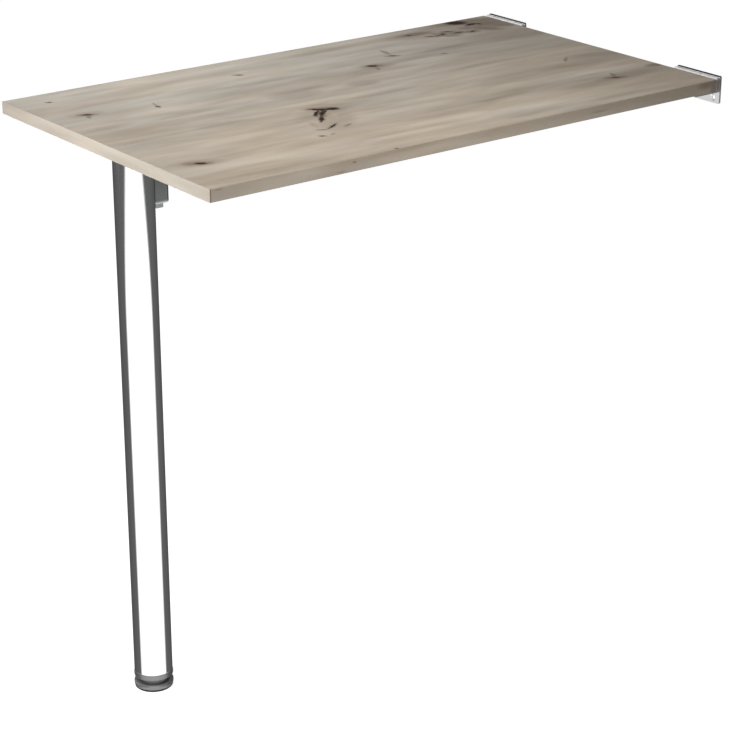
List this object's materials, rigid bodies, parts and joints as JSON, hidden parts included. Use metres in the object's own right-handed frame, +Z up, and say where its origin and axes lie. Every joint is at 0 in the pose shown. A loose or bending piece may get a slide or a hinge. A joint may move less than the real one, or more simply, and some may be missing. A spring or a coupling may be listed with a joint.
{
  "type": "wall mounted folding table",
  "caption": "Wall-hinged folding table with a wood-decor rectangular top and a folding round chrome leg on an adjustable foot; the top folds up flat against the wall.",
  "frame": {"origin": "on the wall plane, midway between the two hinges, at the height of the row of wall screws", "axes": "+Z up, +Y into the wall, so the top reaches out from the wall along -Y; +X along the wall, to the right of someone who faces the wall"},
  "size_m": [0.475, 0.8105, 0.7525],
  "materials": {
    "oak_decor": "matt wood-grain decor",
    "oak_edge": "matt grain edging",
    "chrome_tube": "polished",
    "hinge_steel": "nickel plated",
    "bracket_steel": "satin grey",
    "cast_metal": "satin plated casting",
    "bolt_steel": "zinc plated",
    "screw_steel": "zinc plated",
    "nylon": "natural nylon",
    "black_rubber": "matt",
    "foot_plastic": "fine grain"
  },
  "bodies": {
    "wall_hinges": {"wall_leaf_left": "hinge_steel", "wall_leaf_right": "hinge_steel", "hinge_pin_left": "hinge_steel", "hinge_pin_right": "hinge_steel"},
    "table_top": {"top_board": "oak_decor", "edge_band_free_end": "oak_edge", "edge_band_wall_end": "oak_edge", "edge_band_left": "oak_edge", "edge_band_right": "oak_edge", "top_leaf_left": "hinge_steel", "top_leaf_right": "hinge_steel", "top_leaf_screws": "screw_steel", "bracket_plate": "bracket_steel", "leg_bracket": "bracket_steel", "bracket_screws": "screw_steel", "pivot_bolt": "bolt_steel", "pivot_nut": "bolt_steel"},
    "leg": {"leg_tube": "chrome_tube", "leg_head": "cast_metal", "pivot_bush": "nylon", "friction_washers": "nylon", "fold_buffer": "black_rubber", "foot_insert": "foot_plastic"},
    "foot": {"foot_stem": "bolt_steel", "foot_disc": "chrome_tube", "foot_pad": "black_rubber"}
  },
  "joints": [
    {"name": "top_fold", "type": "hinge", "parent": "wall_hinges", "child": "table_top", "pos_m": [0, -0.0065, 0.026], "axis": [-1, 0, 0], "range_deg": [0, 90]},
    {"name": "leg_fold", "type": "hinge", "parent": "table_top", "child": "leg", "pos_m": [0, -0.73025, -0.006], "axis": [1, 0, 0], "range_deg": [0, 90]},
    {"name": "foot_adjust", "type": "slide", "parent": "leg", "child": "foot", "axis": [0, 0, -1], "range_m": [0, 0.01]}
  ]
}
